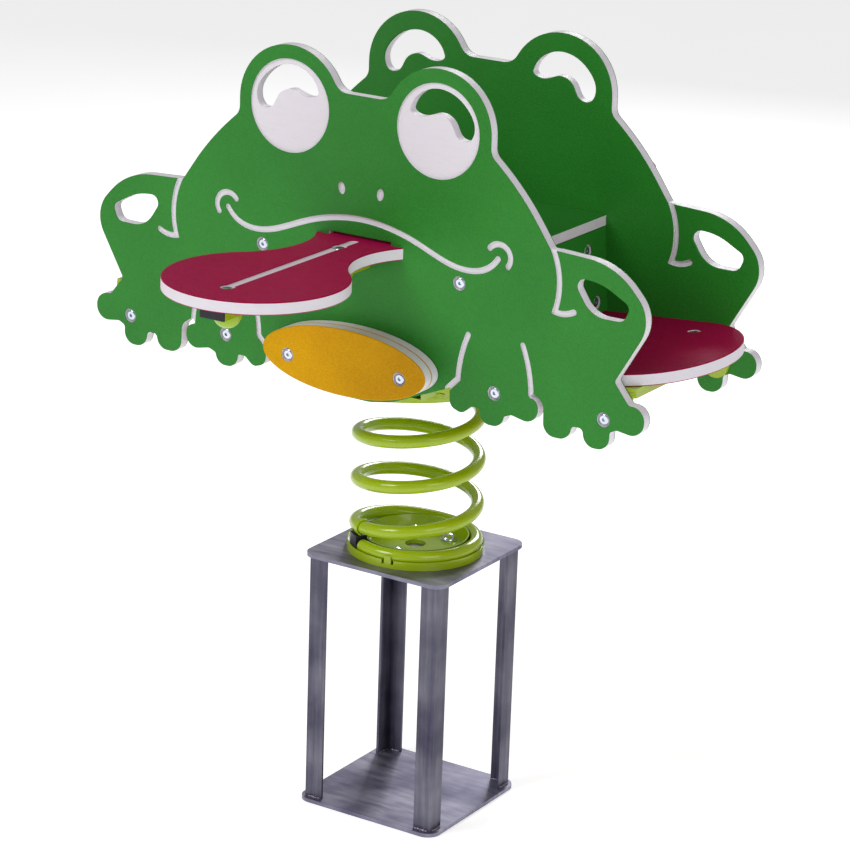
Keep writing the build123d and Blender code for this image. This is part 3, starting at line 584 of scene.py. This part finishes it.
@dataclass
class CoilSpring(Assembly):
    """The coil spring as one smooth wire, in lengths cut at the joint turns."""

    sides: int = 28
    steps_per_turn: int = 72
    end_round: float = 0.0012
    blend_inset: float = 0.0005
    plate_rim: float = 0.0007
    wedge_rim: float = 0.001

    @staticmethod
    def height(turns: float) -> float:
        """Height of the wire's centre, with the corners of the climb eased."""
        def ramp(value: float) -> float:
            """Zero below nought and the value above it, with an eased corner."""
            if value <= -CLIMB_EASE:
                return 0.0
            if value >= CLIMB_EASE:
                return value
            return (value + CLIMB_EASE) ** 2 / (4 * CLIMB_EASE)
        climb = ramp(turns - DEAD_TURNS) - ramp(turns - DEAD_TURNS - ACTIVE_TURNS)
        return COIL_LOW_Z + COIL_PITCH * climb

    def centre(self, turns: float) -> Vector:
        """The wire's centre after so many turns."""
        angle = math.radians(COIL_START_DEG + 360.0 * turns)
        return Vector((COIL_RADIUS * math.cos(angle), COIL_RADIUS * math.sin(angle), self.height(turns)))

    def ring(self, bm: bmesh.types.BMesh, turns: float, radius: float, push: float = 0.0) -> list:
        """One ring of vertices round the wire.

        Args:
            bm: the geometry to add to.
            turns: the place along the wire.
            radius: the ring's radius in metres.
            push: how far the ring moves along the wire.

        Returns:
            The ring's vertices.
        """
        step = 0.001
        along = (self.centre(turns + step) - self.centre(turns - step)).normalized()
        middle = self.centre(turns) + along * push
        outward = Vector((middle.x, middle.y, 0.0)).normalized()
        outward = (outward - along * outward.dot(along)).normalized()
        upward = along.cross(outward)
        ring = []
        for k in range(self.sides):
            a = 2 * math.pi * k / self.sides
            spot = middle + outward * (radius * math.cos(a)) + upward * (radius * math.sin(a))
            ring.append(bm.verts.new(spot))
        return ring

    def length(self, name: str, start: float, end: float, round_start: bool,
               round_end: bool) -> bpy.types.Object:
        """A length of wire.

        Args:
            name: the piece's name.
            start: its first turn.
            end: its last turn.
            round_start: whether the first end is the wire's own cut end.
            round_end: whether the last end is the wire's own cut end.

        Returns:
            The finished object.
        """
        bm = bmesh.new()
        count = max(8, round((end - start) * self.steps_per_turn))
        rings = []
        small = self.end_round
        if round_start:
            rings.append(self.ring(bm, start, WIRE_RADIUS - small))
            rings.append(self.ring(bm, start, WIRE_RADIUS - small * 0.3, small * 0.3))
            rings.append(self.ring(bm, start, WIRE_RADIUS, small))
        for i in range(count + 1):
            if (round_start and i == 0) or (round_end and i == count):
                continue
            rings.append(self.ring(bm, start + (end - start) * i / count, WIRE_RADIUS))
        if round_end:
            rings.append(self.ring(bm, end, WIRE_RADIUS, -small))
            rings.append(self.ring(bm, end, WIRE_RADIUS - small * 0.3, -small * 0.3))
            rings.append(self.ring(bm, end, WIRE_RADIUS - small))
        for a, b in zip(rings, rings[1:]):
            for k in range(self.sides):
                n = (k + 1) % self.sides
                bm.faces.new((a[k], a[n], b[n], b[k]))
        for cap in (list(reversed(rings[0])), rings[-1]):
            for edge in bm.faces.new(cap).edges:
                edge.smooth = False
        return self.finished(name, bm, self.finishes.coat(LIME))

    def build(self) -> None:
        """Makes the lengths of wire in place of the CAD coil pieces, and paints the spring's plates, wedges
        and bolts.
        """
        cuts = (0.0, *JOINT_TURNS, 2 * DEAD_TURNS + ACTIVE_TURNS)
        hides = (("spring_coil_foot", "spring_coil_turn_1"), ("spring_coil_turn_2",),
                 ("spring_coil_turn_3",), ("spring_coil_turn_4",), ("spring_coil_head",))
        for i, (start, end) in enumerate(zip(cuts, cuts[1:])):
            wire = self.length(f"spring_wire_{i + 1}", start, end, i == 0, i == len(cuts) - 2)
            low = self.height(start) + WIRE_RADIUS + self.blend_inset
            high = self.height(end) - WIRE_RADIUS - self.blend_inset
            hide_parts(*hides[i])
            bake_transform(wire)
        lime, black, zinc = (self.finishes.coat(f) for f in (LIME, BLACK, ZINC))
        for node in ("lower_spring_plate", "upper_spring_plate", "lower_coil_clips", "upper_coil_clips"):
            self.round_rims(self.paint(node, lime), self.plate_rim)
        for node in ("lower_coil_wedge", "upper_coil_wedge"):
            self.round_rims(self.paint(node, black), self.wedge_rim)
        for node in ("anchor_bolts", "anchor_bolt_washers", "anchor_bolt_nuts"):
            self.paint(node, zinc)


@dataclass
class AnchorCage(Assembly):
    """The raw steel cage with its weld beads."""

    plate_rim: float = 0.0008
    post_rim: float = 0.0015
    inner_bead: float = 0.0027
    outer_bead: float = 0.0030
    bead_step: float = 0.0012
    bead_sides: int = 12
    bead_lift: float = 0.0008
    bead_gap: float = 0.0005

    def bead(self, bm: bmesh.types.BMesh, start: Vector, end: Vector, radius: float, seed: float) -> None:
        """Adds one weld bead, a lumpy ripple of overlapping drops.

        Args:
            bm: the geometry to add to.
            start: where the bead starts.
            end: where it ends.
            radius: its mean radius.
            seed: shifts the lumps.
        """
        along = (end - start).normalized()
        side = along.cross(Vector((0, 0, 1))).normalized()
        up = side.cross(along)
        count = max(10, round((end - start).length / self.bead_step))
        rings = []
        for i in range(count + 1):
            t = i / count
            swell = math.sqrt(max(0.0, 1 - (2 * t - 1) ** 8))
            ripple = 1 + 0.16 * math.sin(i * 1.25 + seed) + 0.10 * math.sin(i * 0.37 + seed * 3)
            r = max(radius * 0.05, radius * swell * ripple)
            middle = start.lerp(end, t) + side * (0.0005 * math.sin(i * 0.6 + seed))
            angles = [2 * math.pi * k / self.bead_sides for k in range(self.bead_sides)]
            rings.append([bm.verts.new(middle + side * (r * math.cos(a)) + up * (r * 0.8 * math.sin(a)))
                          for a in angles])
        for a, b in zip(rings, rings[1:]):
            for k in range(self.bead_sides):
                n = (k + 1) % self.bead_sides
                bm.faces.new((a[k], a[n], b[n], b[k]))
        bm.faces.new(list(reversed(rings[0])))
        bm.faces.new(rings[-1])

    def build(self) -> None:
        """Paints the cage and adds the beads at each post's foot and head."""
        flat = self.finishes.mill_steel("mill_steel_plate", (14.0, 90.0, 14.0), 1.15)
        upright = self.finishes.mill_steel("mill_steel_post", (160.0, 160.0, 7.0), 0.62)
        for node in ("anchor_bottom_plate", "anchor_top_plate"):
            self.round_rims(self.paint(node, flat), self.plate_rim)
        weld = self.finishes.coat(WELD)
        for post in ("right_rear", "left_rear", "right_front", "left_front"):
            node = "anchor_post_" + post
            self.round_rims(self.paint(node, upright), self.post_rim, 3)
            low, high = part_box(node)
            sx = 1 if "right" in post else -1
            sy = 1 if "rear" in post else -1
            x0, x1 = sorted((abs(low[0]), abs(high[0])))
            y0, y1 = sorted((abs(low[1]), abs(high[1])))
            in_x, in_y = x1 - POST_WALL - self.bead_gap, y1 - POST_WALL - self.bead_gap
            out_x, out_y = x1 + self.bead_gap, y1 + self.bead_gap
            near_x, near_y = x0 + 0.002, y0 + 0.002
            lines = (
                ((near_x, in_y), (x1 - 0.010, in_y), self.inner_bead, 0.0),
                ((in_x, near_y), (in_x, y1 - 0.010), self.inner_bead, 1.3),
                ((near_x, out_y), (x1 - 0.004, out_y), self.outer_bead, 0.4),
                ((out_x, near_y), (out_x, y1 - 0.004), self.outer_bead, 2.6),
            )
            bm = bmesh.new()
            for z, seed in ((low[2] + self.bead_lift, 0.7), (high[2] - self.bead_lift, 2.1)):
                for (ax, ay), (bx, by), radius, more in lines:
                    self.bead(bm, Vector((sx * ax, sy * ay, z)), Vector((sx * bx, sy * by, z)), radius,
                              seed + more)
            beads = self.finished("weld_beads_" + post, bm, weld)
            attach(beads, "base")


# ---- studio ------------------------------------------------------------------------------
@dataclass
class Studio:
    """The floor, the lights and the camera, in metres and watts."""

    floor_half: float = 14.0
    floor_glow: float = 0.52
    sky_strength: float = 0.32
    key_watts: float = 108.0
    fill_watts: float = 45.0
    rim_watts: float = 70.0
    view_place: tuple = (2.4596, -3.9160, 2.1154)
    view_turn: float = 0.5689
    view_drop: float = 0.3281
    view_roll: float = -0.0306
    sensor: float = 36.0
    lens: float = 136.54165
    shift: tuple = (0.0371765, 0.0467059)

    def floor(self) -> None:
        """A wide pale floor under the cage."""
        low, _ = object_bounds()
        bm = bmesh.new()
        size = self.floor_half
        ends = ((-1, -1), (1, -1), (1, 1), (-1, 1))
        bm.faces.new([bm.verts.new((x * size, y * size, low[2] - 0.0005)) for x, y in ends])
        mesh = bpy.data.meshes.new("floor")
        bm.to_mesh(mesh)
        bm.free()
        material, g, shader = Finishes.start("pale_floor")
        coord = g.add("ShaderNodeTexCoord").outputs["Object"]
        tone = g.mix(g.noise(coord, 3.0), (0.88, 0.88, 0.88), (0.92, 0.92, 0.92))
        g.tree.links.new(tone, shader.inputs["Base Color"])
        shader.inputs["Roughness"].default_value = 0.9
        shader.inputs["Specular IOR Level"].default_value = 0.1
        shader.inputs["Emission Color"].default_value = (1.0, 1.0, 1.0, 1.0)
        shader.inputs["Emission Strength"].default_value = self.floor_glow
        mesh.materials.append(material)
        item = bpy.data.objects.new("floor", mesh)
        bpy.context.scene.collection.objects.link(item)
        item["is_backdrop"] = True

    @staticmethod
    def lamp(name: str, place: tuple, size: float, power: float, target: tuple = (0, 0, 0.8)) -> None:
        """A square soft light that points at a target.

        Args:
            name: the light's name.
            place: where it stands.
            size: length of its side.
            power: its power in watts.
            target: what it points at.
        """
        data = bpy.data.lights.new(name, "AREA")
        data.shape = "SQUARE"
        data.size = size
        data.energy = power
        item = bpy.data.objects.new(name, data)
        item.location = place
        item.rotation_euler = (Vector(target) - Vector(place)).to_track_quat("-Z", "Y").to_euler()
        bpy.context.scene.collection.objects.link(item)

    def sky(self) -> None:
        """An even white surround, brighter to the eye than the light it gives."""
        world = bpy.data.worlds.new("surround")
        bpy.context.scene.world = world
        world.use_nodes = True
        g = NodeGraph(world.node_tree)
        world.node_tree.nodes.clear()
        seen = g.add("ShaderNodeLightPath").outputs["Is Camera Ray"]
        power = g.remap(seen, 0.0, 1.0, self.sky_strength, 1.0)
        back = g.add("ShaderNodeBackground", in_0=(1.0, 1.0, 1.0, 1.0), in_1=power)
        g.add("ShaderNodeOutputWorld", in_0=back.outputs[0])

    def camera(self) -> None:
        """The camera at the object's three-quarter view from a little above."""
        place = Vector(self.view_place)
        azimuth, elevation, roll = self.view_turn, self.view_drop, self.view_roll
        ahead = Vector((-math.sin(azimuth) * math.cos(elevation), math.cos(azimuth) * math.cos(elevation),
                        -math.sin(elevation)))
        level = Vector((math.cos(azimuth), math.sin(azimuth), 0.0))
        down = ahead.cross(level)
        right = level * math.cos(roll) + down * math.sin(roll)
        below = down * math.cos(roll) - level * math.sin(roll)
        data = bpy.data.cameras.new("camera")
        data.sensor_width = self.sensor
        data.lens = self.lens
        data.shift_x, data.shift_y = self.shift
        data.clip_start, data.clip_end = 0.1, 60.0
        item = bpy.data.objects.new("camera", data)
        rows = [(right[i], -below[i], -ahead[i], place[i]) for i in range(3)]
        item.matrix_world = Matrix((*rows, (0, 0, 0, 1)))
        bpy.context.scene.collection.objects.link(item)
        bpy.context.scene.camera = item

    def build(self) -> None:
        """Sets up the whole studio."""
        self.floor()
        self.sky()
        self.lamp("key", (-2.2, -3.6, 4.4), 2.2, self.key_watts)
        self.lamp("fill", (3.8, -2.2, 2.6), 2.6, self.fill_watts)
        self.lamp("rim", (-1.2, 4.2, 2.6), 1.6, self.rim_watts)
        self.camera()


def main(frame: dict) -> None:
    """Builds everything on the frame.
    """
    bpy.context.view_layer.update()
    finishes = Finishes()
    for part in (FrogBody, CoilSpring, AnchorCage):
        part(frame, finishes).build()
    Studio().build()
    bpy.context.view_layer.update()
    scene = bpy.context.scene
    scene.view_settings.view_transform = "Standard"


if __name__ == "__main__":
    main(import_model())
